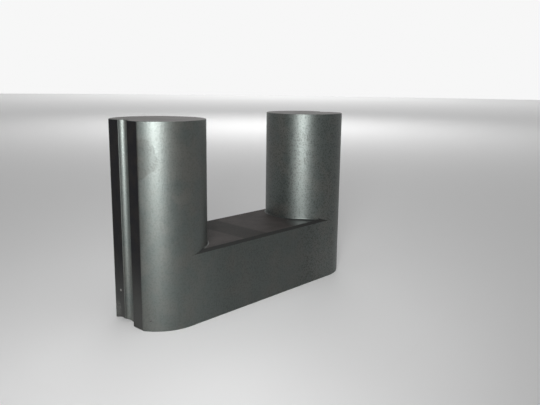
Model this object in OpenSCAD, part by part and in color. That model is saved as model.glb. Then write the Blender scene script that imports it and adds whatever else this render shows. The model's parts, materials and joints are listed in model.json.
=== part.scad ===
// Ferrite U core with round legs.
//
// One piece, pressed from ferrite powder and sintered. Two round legs stand on
// a straight yoke of the same width, so the yoke's sides run tangent into the
// legs. Each end is cut flat on the outside, and a round groove for a clamping
// band or stud runs down the middle of that flat. The pole faces on top of the
// legs are ground.
//
// The core stands on its back with the legs up. The origin is the middle of
// the back. X runs from leg to leg, Y across the yoke and Z up to the poles.

/* [Legs] */
// Diameter of each round leg, which is also the width of the yoke
leg_d = 20; // [14:0.5:28]
// Distance between the axes of the two legs
leg_spacing = 47.5; // [32:0.5:90]
// Overall height, from the back to the ground pole faces
core_h = 43; // [24:0.5:80]

/* [Yoke] */
// Height of the yoke, from the back to the floor of the winding window
yoke_h = 16; // [8:0.5:30]
// Bevel along the two long upper edges of the yoke
yoke_bevel = 0.6; // [0.2:0.1:1.5]
// Radius of the fillet at the foot of each leg, on the window side
foot_r = 0.4; // [0.1:0.1:1]

/* [Clamping ends] */
// How deep the flat on each outer end is cut into the round of the leg
flat_cut = 1.3; // [0.8:0.1:3]
// Width of the clamping groove at the face of the flat
groove_w = 3; // [2.8:0.1:5]
// Depth of the clamping groove below the flat
groove_depth = 1.35; // [0.6:0.05:1.4]

/* [Chipped edge] */
// How far the chip at one end's lower edge reaches up the flat
chip_h = 1; // [0.5:0.1:2]
// How far the same chip reaches in along the back
chip_reach = 2.1; // [1:0.1:3]
// Radius of the shell-shaped fracture that the chip left
chip_r = 6.2; // [4:0.1:12]
// How far the chip's middle lies from the middle of the flat
chip_offset = 2.5; // [1.5:0.1:4]

/* [Hidden] */
$fn = 144;

leg_r = leg_d / 2;
leg_x = leg_spacing / 2;
// Plane of the flat on the outside of each leg
end_x = leg_x + leg_r - flat_cut;
// Radius of the groove's round section, from its width and depth
groove_r = (pow(groove_w / 2, 2) + pow(groove_depth, 2)) / (2 * groove_depth);
// Centre of the fracture sphere, measured out from the flat and down from the back
chip_chord = norm([chip_reach, chip_h]);
chip_stand_off = sqrt(pow(chip_r, 2) - pow(chip_chord / 2, 2));
chip_out = chip_stand_off * chip_h / chip_chord - chip_reach / 2;
chip_down = chip_stand_off * chip_reach / chip_chord - chip_h / 2;
// How far a cutting shape runs past the surface that it opens
overrun = 1;

// Places its children on the axis of both legs, the second turned to mirror the first
module at_each_leg() {
    for (turn = [0, 180])
        rotate([0, 0, turn])
            translate([leg_x, 0, 0])
                children();
}

// Section of the yoke above its back, with bevelled shoulders that rise to top_h
module yoke_section(top_h) {
    shoulder_h = yoke_h - yoke_bevel;
    top_half_w = leg_r - (top_h - shoulder_h);
    polygon([
        [-leg_r, 0],
        [leg_r, 0],
        [leg_r, shoulder_h],
        [top_half_w, top_h],
        [-top_half_w, top_h],
        [-leg_r, shoulder_h]
    ]);
}

// A yoke-shaped bar from leg axis to leg axis
module yoke_bar(top_h) {
    rotate([90, 0, 90])
        linear_extrude(height = leg_spacing, center = true)
            yoke_section(top_h);
}

// Full-height round leg
module leg() {
    cylinder(h = core_h, r = leg_r);
}

// Ring of material that rounds the corner between a leg and the window floor
module foot_ring() {
    translate([0, 0, yoke_h])
        rotate_extrude()
            difference() {
                translate([leg_r - foot_r, 0])
                    square([2 * foot_r, foot_r]);
                translate([leg_r + foot_r, foot_r])
                    circle(r = foot_r);
            }
}

// The foot fillets, kept to the window and run out into the yoke's bevels
module foot_fillets() {
    intersection() {
        at_each_leg() foot_ring();
        yoke_bar(yoke_h + foot_r);
    }
}

// Block that trims the round legs to their outer flats
module end_limits() {
    translate([-end_x, -leg_r - overrun, -overrun])
        cube([2 * end_x, leg_d + 2 * overrun, core_h + 2 * overrun]);
}

// Round groove down the whole height of one flat
module clamping_groove() {
    translate([end_x - leg_x - groove_depth + groove_r, 0, -overrun])
        cylinder(h = core_h + 2 * overrun, r = groove_r);
}

// Shell-shaped chip in the lower edge of the flat, between the groove and a corner
module edge_chip() {
    translate([-end_x - chip_out, chip_offset, -chip_down])
        sphere(r = chip_r);
}

module core() {
    color([0.27, 0.29, 0.29])
        difference() {
            intersection() {
                union() {
                    at_each_leg() leg();
                    yoke_bar(yoke_h);
                    foot_fillets();
                }
                end_limits();
            }
            at_each_leg() clamping_groove();
            edge_chip();
        }
}

core();
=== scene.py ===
# %% [markdown]
# # A ferrite U core with round legs
# The core is one piece of black ceramic. Ferrite powder is pressed in a die, fired until it
# sinters, and then the ends of its two legs are ground flat, because a second core meets them
# there with no gap. Everything below is made in one frame: the CAD model gives the
# sizes, and this script gives the same body its fine edges, its chip and its finishes.
# The frame comes first, so that nothing after it has to be fitted by hand.

# %% The frame
import json
import math

import bmesh
import bpy
from mathutils import Matrix, Vector, noise


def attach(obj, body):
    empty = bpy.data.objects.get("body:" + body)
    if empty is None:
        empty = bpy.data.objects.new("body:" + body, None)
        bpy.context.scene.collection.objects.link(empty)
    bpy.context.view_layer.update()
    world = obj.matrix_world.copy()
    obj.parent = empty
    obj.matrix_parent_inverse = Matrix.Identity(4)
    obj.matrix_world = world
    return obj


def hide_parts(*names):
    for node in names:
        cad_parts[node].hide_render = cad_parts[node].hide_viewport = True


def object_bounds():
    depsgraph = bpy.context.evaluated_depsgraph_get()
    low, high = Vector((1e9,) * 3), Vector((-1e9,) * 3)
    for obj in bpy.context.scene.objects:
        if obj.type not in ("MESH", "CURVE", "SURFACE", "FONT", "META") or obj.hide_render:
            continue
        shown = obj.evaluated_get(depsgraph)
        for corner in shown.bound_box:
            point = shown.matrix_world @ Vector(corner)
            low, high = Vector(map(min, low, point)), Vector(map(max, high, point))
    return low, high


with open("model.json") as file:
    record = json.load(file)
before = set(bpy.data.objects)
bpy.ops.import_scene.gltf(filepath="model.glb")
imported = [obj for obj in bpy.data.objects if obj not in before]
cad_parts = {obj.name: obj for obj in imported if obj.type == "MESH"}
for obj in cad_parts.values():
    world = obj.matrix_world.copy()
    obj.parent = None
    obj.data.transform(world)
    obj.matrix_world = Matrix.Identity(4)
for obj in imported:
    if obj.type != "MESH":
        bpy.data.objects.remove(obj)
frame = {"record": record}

cad_low, cad_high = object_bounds()
print("CAD box in mm:", [round(1000 * side, 2) for side in cad_high - cad_low])

# %% [markdown]
# ## Sizes
# A maker reads the sizes off the drawing once. Here the drawing is the record that came with
# the frame: its mounts say where the poles, the flats and the grooves lie. Only the small
# sizes that no mount gives are written out. All of them are in millimetres, and one function
# turns a point into Blender's metres.

# %% Sizes
MM = 0.001
mounts = {mount["name"]: mount for mount in frame["record"]["mounts"]}
pole = mounts["pole_plus_x"]["pos_m"]
flat = mounts["end_plus_x"]["pos_m"]
groove = mounts["groove_plus_x"]["pos_m"]
leg_size = mounts["leg_plus_x"]["dims"]

core_h = pole[2] / MM
leg_x = pole[0] / MM
leg_r = leg_size["r_mm"]
window_h = leg_size["length_mm"]
yoke_h = core_h - window_h
flat_u = flat[0] / MM - leg_x
groove_depth = (flat[0] - groove[0]) / MM
groove_w = 3.0
yoke_bevel = 0.6
foot_r = 0.4  # the fillet round the foot of a leg


def in_metres(x, y, z):
    """A point in millimetres as Blender's vector in metres."""
    return Vector((x, y, z)) * MM


print("leg radius", leg_r, "height", core_h, "yoke", yoke_h)
print("the flat lies", round(flat_u, 3), "mm from the leg's axis")

# %% [markdown]
# ## The camera
# It stands a hand's width in front of one leg, a little above the poles, and looks down along
# the core. A camera object looks along its own -Z, with +X to the right and +Y up, so its
# matrix is built from those three directions. Turning it by a heading, a tilt and a small roll
# keeps each number readable.

# %% Camera
heading = math.radians(47.14)  # from +Y towards +X
tilt = math.radians(11.44)  # down from the horizon
roll = math.radians(0.69)  # clockwise, as the camera sees it

level_share = math.cos(tilt)
forward = Vector((math.sin(heading) * level_share, math.cos(heading) * level_share, -math.sin(tilt)))
level_right = Vector((math.cos(heading), -math.sin(heading), 0))
level_up = level_right.cross(forward)
right = math.cos(roll) * level_right + math.sin(roll) * level_up
up = math.cos(roll) * level_up - math.sin(roll) * level_right

camera_data = bpy.data.cameras.new("camera")
camera_data.lens = 39.015
camera_data.sensor_width = 36
camera_data.clip_start = 0.005
camera_data.clip_end = 20
camera = bpy.data.objects.new("camera", camera_data)
camera_turn = Matrix((right, up, -forward)).transposed().to_4x4()
camera.matrix_world = Matrix.Translation(in_metres(-97.7, -100.7, 50.3)) @ camera_turn
bpy.context.scene.collection.objects.link(camera)
bpy.context.scene.camera = camera
print("camera at", [round(c, 4) for c in camera.matrix_world.translation])

# %% [markdown]
# ## The plan of a leg
# Seen from above, a leg is a circle with its outer side cut flat and a round groove down the
# middle of the flat. A cylinder with two cuts would give it, but cuts leave long thin faces
# that shade badly. So the outline is worked out as arcs, and every wall is raised from it as
# clean strips. The outline is in the leg's own plan: u points outward from the middle of the
# core, v runs across, and angles are counted from u.

# %% The plan of a leg
arc_step = 3.0  # degrees between two points of the round wall
flat_angle = math.degrees(math.acos(flat_u / leg_r))
groove_r = ((groove_w / 2) ** 2 + groove_depth**2) / (2 * groove_depth)
groove_u = flat_u - groove_depth + groove_r
groove_angle = math.degrees(math.asin(groove_w / 2 / groove_r))
groove_steps = 14


def angles(start, end, steps=None):
    """Evenly spaced angles in degrees, both ends included."""
    count = steps or max(1, round(abs(end - start) / arc_step))
    return [start + (end - start) * i / count for i in range(count + 1)]


def on_circle(angle, radius=leg_r, centre_u=0.0):
    """The plan point at an angle on a circle round the leg's axis, or round a point on u."""
    turn = math.radians(angle)
    return centre_u + radius * math.cos(turn), radius * math.sin(turn)


def outer_half():
    """The half of the plan away from the window, from -v round to +v, as plan points."""
    before = [on_circle(a) for a in angles(-90, -flat_angle)]
    scoop_angles = angles(-groove_angle, groove_angle, groove_steps)
    scoop = [on_circle(180 - a, groove_r, groove_u) for a in scoop_angles]
    after = [on_circle(a) for a in angles(flat_angle, 90)]
    return before + scoop + after


print("points on the outer half of a leg:", len(outer_half()))

# %% [markdown]
# ## Where the leg meets the yoke
# The yoke is as wide as the legs, so its sides run tangent into them. Its two long upper edges
# are bevelled, and a small fillet goes round the foot of each leg. Both die out where the leg
# curves across the bevel: the wall's lower edge climbs the bevel until it reaches the top of
# the fillet. The formulas below say where. A boolean would find the same lines, but it would
# not leave rows of points that fit each other.

# %% Where the leg meets the yoke
shoulder_h = yoke_h - yoke_bevel
fillet_steps = 5  # strips up the fillet
window_steps = 44  # strips round a leg, on the window's side


def bevel_height(v):
    """Height of the bevel's plane, carried on upward, above a plan point."""
    return shoulder_h + leg_r - abs(v)


def fillet_ring(rise):
    """Radius, height and first angle of the fillet where it has turned by rise degrees."""
    turn = math.radians(rise)
    radius = leg_r + foot_r * (1 - math.cos(turn))
    height = yoke_h + foot_r * (1 - math.sin(turn))
    half_width = leg_r - (height - shoulder_h)
    first = 180 - math.degrees(math.asin(half_width / radius))
    return radius, height, first


window_angle = fillet_ring(0)[2]
print("the leg leaves the bevel at", round(window_angle, 2), "degrees")

# %% [markdown]
# ## Raising the body
# bmesh holds points, edges and faces that Python can make one by one. Each leg gets one closed
# row of points along the lower edge of its free wall and one along the rim of its pole, and
# strips are sewn between them. The second leg is the first one turned by half a turn, so both
# come from one function.

# %% Raising the body
body = bmesh.new()


def sew(lower, upper):
    """A strip of four-sided faces between two rows of points of the same length."""
    for a, b, c, d in zip(lower, lower[1:], upper[1:], upper):
        body.faces.new((a, b, c, d))


def raise_leg(side):
    """One leg with its end of the yoke; side is 1 or -1. Returns its rows of points by name."""

    def point(plan, z):
        u, v = plan
        return body.verts.new(in_metres(side * (leg_x + u), side * v, z))

    outer = outer_half()
    climb = [on_circle(a) for a in angles(90, window_angle)[1:]]
    inner = [on_circle(a) for a in angles(window_angle, 360 - window_angle, window_steps)[1:-1]]
    descent = [(u, -v) for u, v in reversed(climb)]

    foot = [point(plan, 0) for plan in outer]
    shoulder = [point(plan, shoulder_h) for plan in outer]
    climbing = [point(plan, bevel_height(plan[1])) for plan in climb]
    fillet_top = [point(plan, yoke_h + foot_r) for plan in inner]
    descending = [point(plan, bevel_height(plan[1])) for plan in descent]
    rim = [point(plan, core_h) for plan in outer + climb + inner + descent]

    lower_edge = shoulder + climbing + fillet_top + descending
    sew(foot, shoulder)
    sew(lower_edge + lower_edge[:1], rim + rim[:1])

    rings = [[climbing[-1]] + fillet_top + [descending[0]]]
    for rise in angles(0, 90, fillet_steps)[1:]:
        radius, height, first = fillet_ring(rise)
        turned = angles(first, 360 - first, window_steps)
        rings.append([point(on_circle(a, radius), height) for a in turned])
        sew(rings[-1], rings[-2])

    return {
        "foot": foot,
        "rim": rim,
        "floor": rings[-1],
        "first_side": [shoulder[-1]] + climbing + [ring[0] for ring in rings[1:]],
        "last_side": [shoulder[0]] + descending[::-1] + [ring[-1] for ring in rings[1:]],
    }


plus = raise_leg(1)
minus = raise_leg(-1)
print("points so far:", len(body.verts))

# %% [markdown]
# ## Closing the body
# What is left are flat faces with many corners: the two ground poles, the back, the window's
# floor, the yoke's two sides and its two bevels. Blender keeps a flat face with any number of
# corners whole, which shades as evenly as the pressed face it stands for.

# %% Closing the body
body.faces.new(plus["rim"])
body.faces.new(minus["rim"])
body.faces.new(plus["foot"] + minus["foot"])
body.faces.new(plus["floor"] + minus["floor"])
for near, far in ((plus, minus), (minus, plus)):
    body.faces.new((near["foot"][-1], near["first_side"][0], far["last_side"][0], far["foot"][0]))
    body.faces.new(near["first_side"] + far["last_side"][::-1])
bmesh.ops.recalc_face_normals(body, faces=body.faces)
open_edges = [edge for edge in body.edges if not edge.is_manifold]
print("faces:", len(body.faces), "open edges:", len(open_edges))
print("volume in cm3:", round(body.calc_volume() * 1e6, 3))

# %% [markdown]
# ## Breaking the edges
# No fired edge is a perfect corner. The edge round the back and the corners of the flats come
# from the die a little rounded, and grinding leaves the rims of the poles almost sharp. The
# Bevel modifier rounds any edge that carries a weight, and the weight sets how much, so one
# modifier does them all. Rounding each by hand would need three more rows of points.

# %% Breaking the edges
die_radius = 0.16
rim_share = 0.5  # of the die's radius, at the ground rims
lip_share = 0.6  # of the die's radius, at the two lips of the groove
near_end = 0.01  # millimetres, near enough to the back or to a pole
in_line = 0.001  # millimetres, near enough to upright or to the flat
weights = body.edges.layers.float.new("bevel_weight_edge")


def edge_share(edge):
    """How much of the die's radius an edge gets, from where it lies."""
    first, second = (corner.co / MM for corner in edge.verts)
    if max(first.z, second.z) < near_end:
        return 1.0
    if min(first.z, second.z) > core_h - near_end:
        return rim_share
    upright = math.hypot(first.x - second.x, first.y - second.y) < in_line
    at_flat = abs(abs(first.x) - leg_x - flat_u) < in_line
    if upright and at_flat:
        return 1.0 if abs(first.y) > groove_w else lip_share
    return 0.0


for edge in body.edges:
    edge[weights] = edge_share(edge)

mesh = bpy.data.meshes.new("core_body")
body.to_mesh(mesh)
body.free()
core = bpy.data.objects.new("core_body", mesh)
bpy.context.scene.collection.objects.link(core)

rounding = core.modifiers.new("rounding", "BEVEL")
rounding.limit_method = "WEIGHT"
rounding.offset_type = "OFFSET"
rounding.width = die_radius * MM
rounding.segments = 3
rounding.use_clamp_overlap = False


def settle(piece):
    """Applies every modifier of a piece, so that its mesh is what shows."""
    depsgraph = bpy.context.evaluated_depsgraph_get()
    settled = bpy.data.meshes.new_from_object(piece.evaluated_get(depsgraph))
    piece.modifiers.clear()
    piece.data = settled
    return settled


settle(core)
print("faces after rounding:", len(core.data.polygons))

# %% [markdown]
# ## The chip and the pit
# Ferrite breaks like glass: a knock on an edge takes out a shell, hollow like a spoon and
# faintly rippled round the point of the blow. One such chip is gone from the lower edge of a
# flat, and a grain has fallen out of the wall near the foot of the same leg. Each is cut by a
# boolean with a ball whose surface is already the fracture, uneven and rippled, because what
# the ball leaves behind is the shape that shows.

# %% The chip and the pit
chip_h = 1.0  # how far the chip goes up the flat
chip_reach = 2.1  # how far it goes in along the back
chip_r = 6.2  # the radius of its hollow
chip_offset = 2.5  # from the middle of the flat
chip_chord = math.hypot(chip_reach, chip_h)
chip_stand_off = math.sqrt(chip_r**2 - (chip_chord / 2) ** 2)
chip_out = chip_stand_off * chip_h / chip_chord - chip_reach / 2
chip_down = chip_stand_off * chip_reach / chip_chord - chip_h / 2
chip_middle = Vector((-leg_x - flat_u - chip_out, chip_offset, -chip_down))
blow = Vector((-leg_x - flat_u, chip_offset, 0))

pit_angle = math.radians(39.2)
pit_h = 2.4
pit_middle = Vector((-leg_x - leg_r * math.cos(pit_angle), -leg_r * math.sin(pit_angle), pit_h))

FRACTURE = 2  # the slot of the broken face among the core's materials
unevenness = 0.05  # how far the broken surface swells and sinks
lumps = 2.2  # in a millimetre
ripple_apart = 0.55  # from crest to crest


def fracture_ball(name, middle, size, ripple, fineness):
    """A ball with a broken surface, to be cut out of the core."""
    ball = bmesh.new()
    bmesh.ops.create_icosphere(ball, subdivisions=fineness, radius=1)
    for corner in ball.verts:
        direction = corner.co.normalized()
        place = middle + Vector([d * s for d, s in zip(direction, size)])
        from_blow = (place - blow).length
        lift = unevenness * noise.fractal(place * lumps, 1.0, 2.1, 4)
        lift += ripple * math.sin(from_blow * math.tau / ripple_apart)
        corner.co = (place + direction * lift) * MM
    ball_mesh = bpy.data.meshes.new(name)
    ball.to_mesh(ball_mesh)
    ball.free()
    cutter = bpy.data.objects.new(name, ball_mesh)
    bpy.context.scene.collection.objects.link(cutter)
    return cutter


def break_off(cutter):
    """Cuts a ball out of the core and throws the ball away."""
    cut = core.modifiers.new("cut", "BOOLEAN")
    cut.operation = "DIFFERENCE"
    cut.solver = "EXACT"
    cut.object = cutter
    settle(core)
    bpy.data.objects.remove(cutter)


finish_names = ("sintered", "ground", "broken", "flats", "window floor")
for name in finish_names:
    core.data.materials.append(bpy.data.materials.new(name))


def as_fracture(cutter):
    """Gives every face of a cutter the core's slots, set to the broken one."""
    for material in core.data.materials:
        cutter.data.materials.append(material)
    for face in cutter.data.polygons:
        face.material_index = FRACTURE
    return cutter


chip_size = Vector((chip_r, chip_r, chip_r))
break_off(as_fracture(fracture_ball("chip", chip_middle, chip_size, 0.012, 6)))
pit_size = Vector((0.28, 0.34, 0.2))
break_off(as_fracture(fracture_ball("pit", pit_middle, pit_size, 0.0, 4)))
broken = [face for face in core.data.polygons if face.material_index == FRACTURE]
print("broken area in mm2:", round(sum(face.area for face in broken) / MM**2, 2))

# %% [markdown]
# ## Which face has which finish
# The poles are ground, the fractures are raw, and all the rest is the skin that the press and
# the kiln left. The clamping flats, the bevels and the window's floor are duller than the
# round walls, so they get finishes of their own. A face knows its own height and direction, so
# none of them needs picking by hand. Then the shading: faces that meet at a real corner keep
# it, and everywhere else the large faces set the normals, so that flats stay flat up to their
# edges.

# %% Which face has which finish
SINTERED = 0
GROUND = 1
FLAT = 3
WINDOW_FLOOR = 4
hair = 0.005  # millimetres, finer than the rounding of any edge
square_on = 0.9  # how nearly a face has to look along an axis
crease = math.radians(24)


def finish_of(face):
    """The slot a face belongs to, from where it lies and which way it looks."""
    height = face.center.z / MM
    reach = abs(face.center.x) / MM
    aside = abs(face.center.y) / MM
    if face.material_index == FRACTURE:
        return FRACTURE
    if face.normal.z > square_on and height > core_h - hair:
        return GROUND
    if face.normal.z > square_on and abs(height - yoke_h) < 2 * hair:
        return WINDOW_FLOOR
    if abs(face.normal.x) > square_on and reach > leg_x + flat_u - hair:
        return FLAT
    slanting = 0.6 < face.normal.z < 0.8  # the bevels lie at 45 degrees
    if slanting and shoulder_h < height < yoke_h and aside > leg_r - yoke_bevel:
        return FLAT
    return SINTERED


for face in core.data.polygons:
    face.use_smooth = True
    face.material_index = finish_of(face)
core.data.set_sharp_from_angle(angle=crease)
flats_rule = core.modifiers.new("flats rule", "WEIGHTED_NORMAL")
flats_rule.mode = "FACE_AREA"
flats_rule.keep_sharp = True
settle(core)
print("triangles:", sum(len(face.vertices) - 2 for face in core.data.polygons))

# %% [markdown]
# ## Sums on sockets
# A finish is a small network of nodes, and most of it is arithmetic. Wire wraps one output
# socket, so that Python's own operators add the Math nodes: `1 - mask` reads as it works.
# Every other node comes from one method, which sets the node's choices first and then its
# sockets, with plain values or with other wires.

# %% Sums on sockets
class Wire:
    """An output socket of a material's node, on which Python can do sums."""

    def __init__(self, tree, socket):
        self.tree = tree
        self.socket = socket

    def node(self, kind, settings, sockets, output=0):
        """A new node of this kind in the same tree; returns one of its outputs as a wire."""
        made = self.tree.nodes.new("ShaderNode" + kind)
        for name, choice in settings.items():
            setattr(made, name, choice)
        for name, value in sockets.items():
            if isinstance(value, Wire):
                self.tree.links.new(value.socket, made.inputs[name])
            else:
                made.inputs[name].default_value = value
        return Wire(self.tree, made.outputs[output])

    def sum_of(self, operation, first, second):
        """One Math node on two values or wires."""
        return self.node("Math", {"operation": operation}, {0: first, 1: second})

    def __add__(self, other):
        return self.sum_of("ADD", self, other)

    def __radd__(self, other):
        return self.sum_of("ADD", other, self)

    def __sub__(self, other):
        return self.sum_of("SUBTRACT", self, other)

    def __rsub__(self, other):
        return self.sum_of("SUBTRACT", other, self)

    def __mul__(self, other):
        return self.sum_of("MULTIPLY", self, other)

    def __rmul__(self, other):
        return self.sum_of("MULTIPLY", other, self)

    def size(self):
        """The value without its sign."""
        return self.node("Math", {"operation": "ABSOLUTE"}, {0: self})

    def clamped(self):
        """The value kept from 0 to 1."""
        return self.node("Clamp", {}, {"Value": self})

    def between(self, low, high):
        """0 at low and below, 1 at high and above, and a soft step in between."""
        settings = {"interpolation_type": "SMOOTHSTEP"}
        return self.node("MapRange", settings, {"Value": self, "From Min": low, "From Max": high})


def blend_colours(factor, first, second):
    """A colour on the way from first to second."""
    return factor.node("Mix", {"data_type": "RGBA"}, {0: factor, 6: first, 7: second}, 2)


def along(place, direction):
    """How far a place lies along a direction."""
    return place.node("VectorMath", {"operation": "DOT_PRODUCT"}, {0: place, 1: direction}, 1)


print("sums that Wire can do:", "+ - *, size, clamped, between")

# %% [markdown]
# ## A blank finish
# Every finish starts from the same two things: a Principled shader, and the place on the core
# in millimetres, so that the size of a grain can be written as it is on the real surface. What
# changes over the surface is linked to the shader, and what doesn't is set on its socket.

# %% A blank finish
def start_finish(name):
    """Clears a material and returns its shader and the place on the core in millimetres."""
    material = core.data.materials[name]
    material.use_nodes = True
    tree = material.node_tree
    tree.nodes.clear()
    shader = tree.nodes.new("ShaderNodeBsdfPrincipled")
    end = tree.nodes.new("ShaderNodeOutputMaterial")
    tree.links.new(shader.outputs["BSDF"], end.inputs["Surface"])
    coordinates = Wire(tree, tree.nodes.new("ShaderNodeTexCoord").outputs["Object"])
    place = coordinates.node("VectorMath", {"operation": "SCALE"}, {0: coordinates, "Scale": 1 / MM})
    return shader, place


def plug_in(shader, **inputs):
    """Links wires to the shader's sockets and sets plain values; underscores stand for spaces."""
    for name, value in inputs.items():
        socket = shader.inputs[name.replace("_", " ")]
        if isinstance(value, Wire):
            socket.id_data.links.new(value.socket, socket)
        else:
            socket.default_value = value


print("finishes to make:", ", ".join(finish_names))

# %% [markdown]
# ## Patterns in millimetres
# Every mark on the core is one of three things: cloudy noise, bumps, or a spot at a known
# place. Noise of one size looks like a computer's, so each finish mixes two or three sizes.

# %% Patterns in millimetres
def mottle(place, grain, detail=2.0, roughness=0.5):
    """Cloudy noise from 0 to 1 whose patches are about grain millimetres across."""
    sockets = {"Vector": place, "Scale": 1 / grain, "Detail": detail, "Roughness": roughness}
    return place.node("TexNoise", {}, sockets)


def bumps(height, depth):
    """A normal from a height that runs from 0 to 1; depth is in millimetres."""
    return height.node("Bump", {}, {"Height": height, "Distance": depth * MM})


def spot(place, middle, reach, ragged, softness=0.12):
    """1 in the middle of an ellipsoid of the given reach and 0 outside, with a ragged edge."""
    away = place.node("VectorMath", {"operation": "SUBTRACT"}, {0: place, 1: middle})
    scaled = place.node("VectorMath", {"operation": "DIVIDE"}, {0: away, 1: reach})
    distance = place.node("VectorMath", {"operation": "LENGTH"}, {0: scaled}, 1)
    return 1 - (distance + (ragged - 0.5) * 0.35).between(1 - softness, 1 + softness)


along_x = (1.0, 0.0, 0.0)
along_z = (0.0, 0.0, 1.0)
print("patterns: mottle, bumps, spot")

# %% [markdown]
# ## The sintered skin
# Fired ferrite is close to black, with a satin shine that is stronger than on glass, because
# its index of refraction is above 2. The kiln leaves slow clouds of a slightly browner black
# in a greenish one, and the grains of the pressed powder still show as a fine relief. One
# patch of each size is mixed into the colour, the roughness and the bump.

# %% The sintered skin
def sintered_skin():
    """The bare skin; returns what a film over it needs."""
    shader, place = start_finish("sintered")
    grain = mottle(place, 0.36, detail=1.0, roughness=0.6)
    cloud = mottle(place, 3.2, detail=4.0, roughness=0.62)
    drift = mottle(place, 13.0, detail=2.0)
    clouds = (cloud * 0.6 + drift * 0.4).between(0.43, 0.62)
    colour = blend_colours(clouds, (0.0030, 0.0046, 0.0042, 1), (0.0125, 0.0092, 0.0072, 1))
    roughness = 0.45 + (cloud - 0.5) * 0.14
    surface = bumps(grain, 0.016)
    plug_in(shader, Base_Color=colour, Roughness=roughness, Normal=surface)
    plug_in(shader, IOR=2.1, Specular_Tint=(0.90, 1.0, 0.955, 1))
    return shader, place, grain, surface


skin = sintered_skin()
print("the sintered skin is on")

# %% [markdown]
# ## Pores and smudges
# Where a pore is open or a finger has been, the skin loses its shine, and a darker colour
# alone can't take a shine away. So a second, much less glossy shader lies over the first like
# a film, and a Mix Shader says where it shows. It shows in the pores, which the press leaves
# more open on the window's side of one leg, in a thumb's smudge with a wiped lower edge, in a
# fainter touch below it, and thinly over the middle of the yoke, where it is painted shade.

# %% Pores and smudges
def film_over(shader, factor):
    """Lays a second shader over a finish where factor is 1, and returns the second shader."""
    tree = shader.id_data
    film = tree.nodes.new("ShaderNodeBsdfPrincipled")
    both = {0: factor, 1: Wire(tree, shader.outputs["BSDF"]), 2: Wire(tree, film.outputs["BSDF"])}
    mixed = factor.node("MixShader", {}, both)
    end = tree.nodes["Material Output"]
    tree.links.new(mixed.socket, end.inputs["Surface"])
    return film


def smudges(place):
    """1 where the near leg has been handled."""
    ragged = mottle(place, 1.3, detail=3.0)
    wipe = along(place, (0.0, 0.85, 1.0)) + (ragged - 0.5) * 0.5
    thumb = spot(place, (-32.0, -5.6, 35.2), (3.2, 2.9, 4.6), ragged, 0.10)
    touch = spot(place, (-32.6, -4.6, 22.0), (1.7, 1.3, 3.9), ragged, 0.25)
    return (thumb * wipe.between(26.95, 27.25) + touch * 0.7).clamped()


def film_on_skin(shader, place, grain, surface):
    """The dull film in the pores, on the smudges, and as painted shade over the middle of the yoke.
    """
    outward = along(place, along_x)
    more_open = outward.between(8.0, 16.0) - outward.between(26.0, 30.0)
    pores = grain.between(0.46, 0.66) * (0.75 + more_open * 1.15)
    smudge = smudges(place)
    above_yoke = along(place, along_z).between(yoke_h, yoke_h + 1)
    # painted shade: the dull film darkens the middle of the yoke below the legs
    painted_shade_on_yoke = (1 - outward.size().between(12.0, 24.0)) * (1 - above_yoke)
    film = film_over(shader, (pores * 0.20 + smudge * 0.24 + painted_shade_on_yoke * 0.28).clamped())
    colour = blend_colours(smudge, (0.004, 0.004, 0.004, 1), (0.016, 0.011, 0.008, 1))
    plug_in(film, Base_Color=colour, Roughness=0.55, Normal=surface, IOR=1.25)


film_on_skin(*skin)
print("the film over the skin is on")

# %% [markdown]
# ## The dull faces
# The flats take the clamp, and both they and the yoke's bevels are rubbed dull: they mirror
# little of the room and stay nearly black. Rubbing fills the pores, so this finish gets a
# lower index of refraction rather than more roughness alone. The lower half of the flats and
# the bevels turn a paler grey; one flat has a scuff at its foot, and a speck above it.

# %% The dull faces
nearly_black = (0.0030, 0.0031, 0.0042, 1)
warm_black = (0.0066, 0.0060, 0.0058, 1)
# a paler grey for the lower half of the flats and for the bevels
paler_grey = (0.037, 0.038, 0.036, 1)
rubbed_off = (0.16, 0.16, 0.15, 1)


def paler_low_and_bevels(place):
    """How far a place turns paler grey: the lower half of a flat, and the bevels between the legs.
    """
    low = 1 - along(place, along_z).between(0.0, 17.0)
    on_bevel = 1 - along(place, along_x).size().between(24.0, 28.0)
    return (low * 0.9 + on_bevel * 0.5).clamped()


def clamping_flats():
    shader, place = start_finish("flats")
    grain = mottle(place, 0.30, detail=2.0, roughness=0.7)
    cloud = mottle(place, 3.0, detail=3.0)
    ragged = mottle(place, 0.5, detail=3.0)
    scuff = spot(place, (-32.45, 4.1, 2.6), (0.4, 1.1, 1.7), ragged, 0.4)
    speck = spot(place, (-32.45, 2.8, 7.0), (0.4, 0.22, 0.26), ragged)
    marks = (scuff * grain.between(0.42, 0.6) * 0.5 + speck).clamped()
    clouded = blend_colours(cloud.between(0.4, 0.65), nearly_black, warm_black)
    paled = blend_colours(paler_low_and_bevels(place), clouded, paler_grey)
    colour = blend_colours(marks, paled, rubbed_off)
    roughness = 0.50 + (grain - 0.5) * 0.3 + (cloud - 0.5) * 0.2
    plug_in(shader, Base_Color=colour, Roughness=roughness, Normal=bumps(grain, 0.012), IOR=1.25)


clamping_flats()
print("the flats and the bevels are dull")

# %% [markdown]
# ## The window's floor
# The floor of the window takes the coil's bobbin. It is duller still and a little browner,
# with a pale speck, and a darker band of painted shade lies straight across it. Only
# the corner by the far leg, where no bobbin reaches, has kept its shine, so a film with the
# shine of the skin lies over that corner.

# %% The window's floor
# where the band of painted shade across the window's floor starts and ends, along x
shade_band_start = -8.2
shade_band_end = -0.8
shiny_corner = (17.0, -9.5, yoke_h)
bobbin_brown = (0.058, 0.053, 0.051, 1)
lighter_brown = (0.070, 0.063, 0.061, 1)


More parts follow.
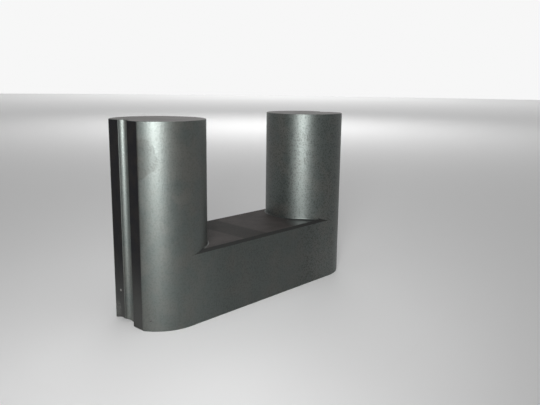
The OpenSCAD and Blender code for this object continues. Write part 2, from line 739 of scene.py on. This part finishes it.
def window_floor():
    shader, place = start_finish("window floor")
    grain = mottle(place, 0.30, detail=2.0, roughness=0.7)
    cloud = mottle(place, 4.0, detail=3.0)
    ragged = mottle(place, 0.9, detail=3.0)
    across = along(place, along_x) + (ragged - 0.5) * 0.5
    # painted shade: a darker band straight across the window's floor
    painted_shade_band = across.between(shade_band_start, shade_band_start + 1.0) - across.between(shade_band_end, shade_band_end + 1.2)
    speck = spot(place, (13.0, -4.25, yoke_h), (0.26, 0.26, 0.4), ragged)
    bare = blend_colours(cloud.between(0.35, 0.65), bobbin_brown, lighter_brown)
    # the band's near-black colour is painted shade
    with_painted_shade = blend_colours(painted_shade_band * 0.6, bare, (0.021, 0.022, 0.020, 1))
    colour = blend_colours(speck * 0.8, with_painted_shade, (0.30, 0.30, 0.28, 1))
    roughness = 0.62 + (grain - 0.5) * 0.3
    surface = bumps(grain, 0.012)
    plug_in(shader, Base_Color=colour, Roughness=roughness, Normal=surface, IOR=1.12)

    from_corner = place.node("VectorMath", {"operation": "DISTANCE"}, {0: place, 1: shiny_corner}, 1)
    shine = film_over(shader, (1 - from_corner.between(4.5, 9.5)) * 0.9)
    plug_in(shine, Base_Color=(0.006, 0.007, 0.007, 1), Roughness=0.36, Normal=surface, IOR=1.9)


window_floor()
print("the window's floor is done")

# %% [markdown]
# ## The ground poles
# Grinding cuts through the skin, so the poles are greyer, duller and a touch brown, with fine
# straight lines from the wheel. A wave texture would repeat too evenly. Noise that is
# stretched some twenty-five times along one direction gives lines of every width.

# %% The ground poles
fresh_grey = (0.112, 0.103, 0.097, 1)
lighter_grey = (0.148, 0.137, 0.130, 1)
grain_grey = (0.085, 0.080, 0.077, 1)


def ground_poles():
    shader, place = start_finish("ground")
    stretch = {0: place, 1: (0.35, 9.0, 1.0)}
    stretched = place.node("VectorMath", {"operation": "MULTIPLY"}, stretch)
    lines = mottle(stretched, 1.0, detail=4.0)
    grain = mottle(place, 0.22, detail=3.0, roughness=0.7)
    cloud = mottle(place, 5.0, detail=3.0)
    ground = blend_colours(cloud.between(0.35, 0.65), fresh_grey, lighter_grey)
    colour = blend_colours(grain.between(0.3, 0.7) * 0.5, ground, grain_grey)
    roughness = 0.66 + (lines - 0.5) * 0.2 + (grain - 0.5) * 0.12
    surface = bumps(lines * 0.7 + grain * 0.5, 0.004)
    plug_in(shader, Base_Color=colour, Roughness=roughness, Normal=surface, IOR=1.75)


ground_poles()
print("the poles are ground")

# %% [markdown]
# ## The broken faces
# A fresh fracture shows the grains themselves: darker than the skin in its hollows, with many
# small facets that catch the light. The facets are the cells of a Voronoi texture, each with
# its own tone: the lighter cells are a painted glint, and their lower roughness glints for real.

# %% The broken faces
def broken_faces():
    shader, place = start_finish("broken")
    cells = place.node("TexVoronoi", {"feature": "F1"}, {"Vector": place, "Scale": 6.0}, "Color")
    tone = cells.node("SeparateColor", {}, {"Color": cells})
    rough_rock = mottle(place, 0.5, detail=5.0, roughness=0.7)
    facets_and_painted_glint = tone.between(0.55, 1.0)
    # painted glint: the lighter cells stand in for facets that catch the light
    colour = blend_colours(facets_and_painted_glint, (0.020, 0.021, 0.020, 1), (0.15, 0.15, 0.14, 1))
    roughness = 0.62 - facets_and_painted_glint * 0.25
    surface = bumps(rough_rock + tone * 0.5, 0.05)
    plug_in(shader, Base_Color=colour, Roughness=roughness, Normal=surface, IOR=2.1)


broken_faces()
print("the fractures are done")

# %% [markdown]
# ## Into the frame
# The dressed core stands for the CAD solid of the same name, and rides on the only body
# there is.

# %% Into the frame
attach(core, "root")
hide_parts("core")

# %% [markdown]
# ## The floor
# The core stands on pale paper that reaches further than the camera sees. A plane would do,
# but a wide disc has the same edge on every side, so the horizon looks alike from each view.
# The paper's own colour makes it pale, and the lamps stay at a plain level.

# %% The floor
floor_r = 2.5  # metres


def disc(name, radius, steps=96):
    """A flat disc round the origin, facing up."""
    plate = bmesh.new()
    bmesh.ops.create_circle(plate, cap_ends=True, segments=steps, radius=radius)
    plate_mesh = bpy.data.meshes.new(name)
    plate.to_mesh(plate_mesh)
    plate.free()
    return bpy.data.objects.new(name, plate_mesh)


paper = bpy.data.materials.new("paper")
paper.use_nodes = True
paper_shader = paper.node_tree.nodes["Principled BSDF"]
plug_in(paper_shader, Base_Color=(0.86, 0.86, 0.86, 1), Roughness=0.8, Specular_IOR_Level=0.2)

floor = disc("floor", floor_r)
floor.location.z = cad_low.z
floor.data.materials.append(paper)
bpy.context.scene.collection.objects.link(floor)
print("floor radius in metres:", floor_r)

# %% [markdown]
# ## The lamps
# Two small soft lamps side by side are the key. They stand close behind the camera, reach out
# to its left, and are a little higher. Their reflection draws the bright stripe down each leg,
# strongest at the top, where the eye and the lamps look at the wall most squarely. Each lamp is
# a real size, because on a shiny round wall the size of the lamp is the width of the stripe. A
# honeycomb in front of a lamp keeps its light in a cone, and Blender calls that the lamp's
# spread: it keeps the key off the floor before it. Two more lamps stand over the floor behind
# the core, near and far, so that it stays pale, and a wide soft light from above fills in the
# rest.

# %% The lamps
def soft_lamp(name, place, aim, size, power, spread=180):
    """A round soft lamp, in millimetres and watts, turned to a point; spread is its cone's angle."""
    light = bpy.data.lights.new(name, "AREA")
    light.shape = "DISK"
    light.size = size * MM
    light.energy = power
    light.spread = math.radians(spread)
    stand = bpy.data.objects.new(name, light)
    stand.location = in_metres(*place)
    to_aim = in_metres(*aim) - stand.location
    stand.rotation_euler = to_aim.to_track_quat("-Z", "Y").to_euler()
    stand.visible_camera = False
    bpy.context.scene.collection.objects.link(stand)


key_aim = (-8, 0, 32)
soft_lamp("key", (-148, -115, 58), key_aim, 46, 0.0365, 60)
soft_lamp("second key", (-131, -131, 58), key_aim, 46, 0.0178, 60)
soft_lamp("floor behind", (420, 385, 430), (420, 385, 0), 260, 0.36, 90)
soft_lamp("far floor", (1700, 1580, 1400), (1700, 1580, 0), 1400, 18)

overhead_light = bpy.data.lights.new("overhead", "SUN")
overhead_light.angle = math.radians(60)
overhead_light.energy = 0.65
overhead = bpy.data.objects.new("overhead", overhead_light)
overhead.rotation_euler = (math.radians(12), 0, 0)
bpy.context.scene.collection.objects.link(overhead)

# %% [markdown]
# ## The room
# A dark, shiny thing takes its look from what it mirrors. Behind the core there is a white
# backdrop, as wide as the camera sees, which lightens the grazing edges and the poles. Pale
# walls run round the other sides, and above them the room is dark, so that a face which looks
# up stays dark. The world holds all three: the direction of a ray says which of them it meets.

# %% The room
backdrop_tone = (0.93, 0.93, 0.93, 1)
wall_tone = (0.55, 0.55, 0.55, 1)
dark_tone = (0.10, 0.10, 0.10, 1)


def cosine(degrees):
    """The cosine of an angle, which is how far a unit vector lies along another."""
    return math.cos(math.radians(degrees))


world = bpy.data.worlds.new("room")
world.use_nodes = True
bpy.context.scene.world = world
room = world.node_tree
looking = Wire(room, room.nodes.new("ShaderNodeTexCoord").outputs["Generated"])
backdrop_way = (math.sin(heading), math.cos(heading), 0)
on_backdrop = along(looking, backdrop_way).between(cosine(62), cosine(30))
over_walls = along(looking, along_z).between(cosine(90 - 11), cosine(90 - 24))
wall = blend_colours(on_backdrop, wall_tone, backdrop_tone)
tone = blend_colours(over_walls, wall, dark_tone)
room.links.new(tone.socket, room.nodes["Background"].inputs["Color"])
bpy.context.scene.view_settings.view_transform = "Standard"
print("the room is lit")
